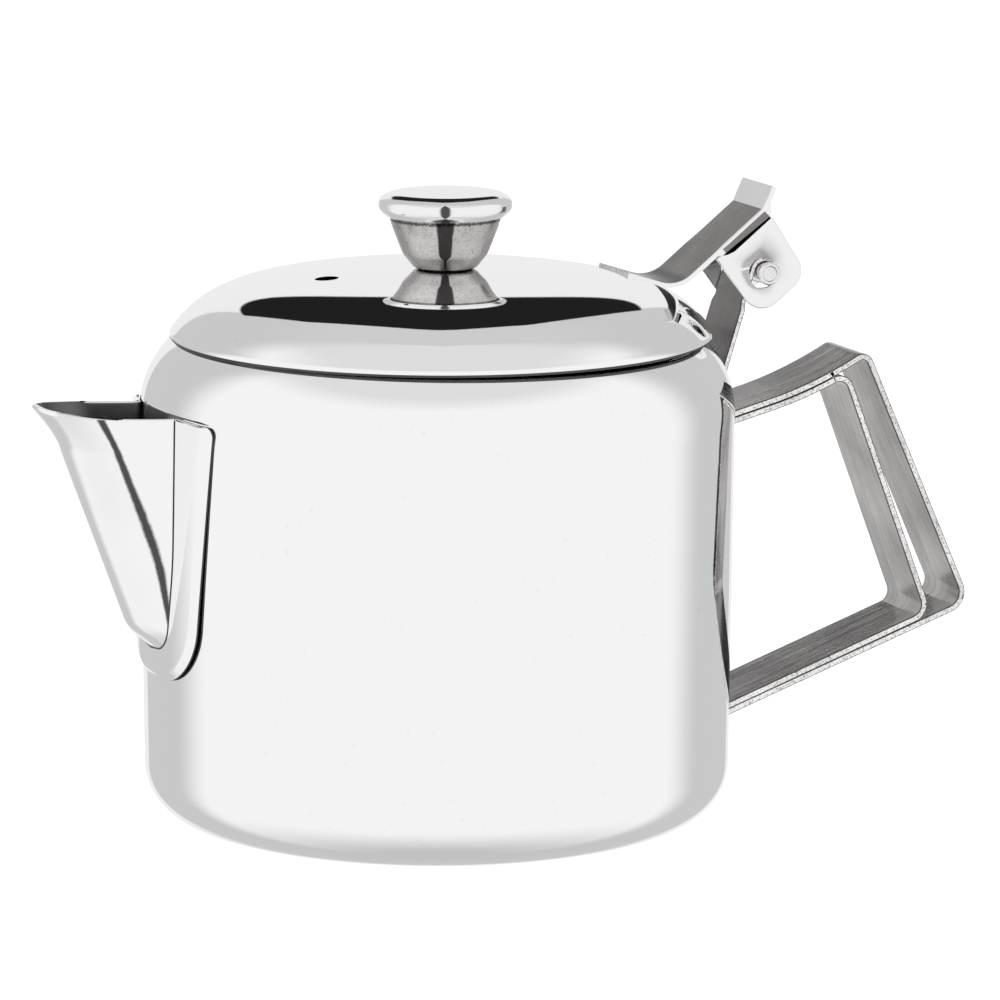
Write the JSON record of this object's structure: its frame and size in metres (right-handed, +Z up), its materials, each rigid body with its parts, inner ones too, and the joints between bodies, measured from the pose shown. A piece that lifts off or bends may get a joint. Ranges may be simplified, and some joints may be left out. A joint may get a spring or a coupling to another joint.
{
  "type": "teapot",
  "caption": "Small straight-sided metal teapot with a hinged domed lid and thumb lever, a pinched open spout and a double-band strip handle.",
  "frame": {"origin": "centre of the base's underside, on the pot's axis", "axes": "+Z up along the pot's axis, -X towards the spout, +X towards the handle and the lid's hinge, Y along the hinge pin"},
  "size_m": [0.1655, 0.0998, 0.1055],
  "materials": {
    "mirror_steel": "mirror-polished stainless steel",
    "satin_steel": "dull pressed stainless steel",
    "strip_steel": "tumbled stainless strip with rough cut edges"
  },
  "bodies": {
    "pot": {"body_shell": "mirror_steel", "spout": "mirror_steel", "handle_outer_band": "strip_steel", "handle_inner_band": "strip_steel", "hinge_bracket": "strip_steel", "hinge_pin": "satin_steel"},
    "lid": {"lid_shell": "mirror_steel", "lid_collar": "satin_steel", "knob_cup": "satin_steel", "knob_cap": "mirror_steel", "knob_rivet": "satin_steel", "lid_lever": "strip_steel"}
  },
  "joints": [
    {"name": "lid_hinge", "type": "hinge", "parent": "pot", "child": "lid", "pos_m": [0.0574, 0, 0.0896], "axis": [0, 1, 0], "range_deg": [0, 100]}
  ]
}
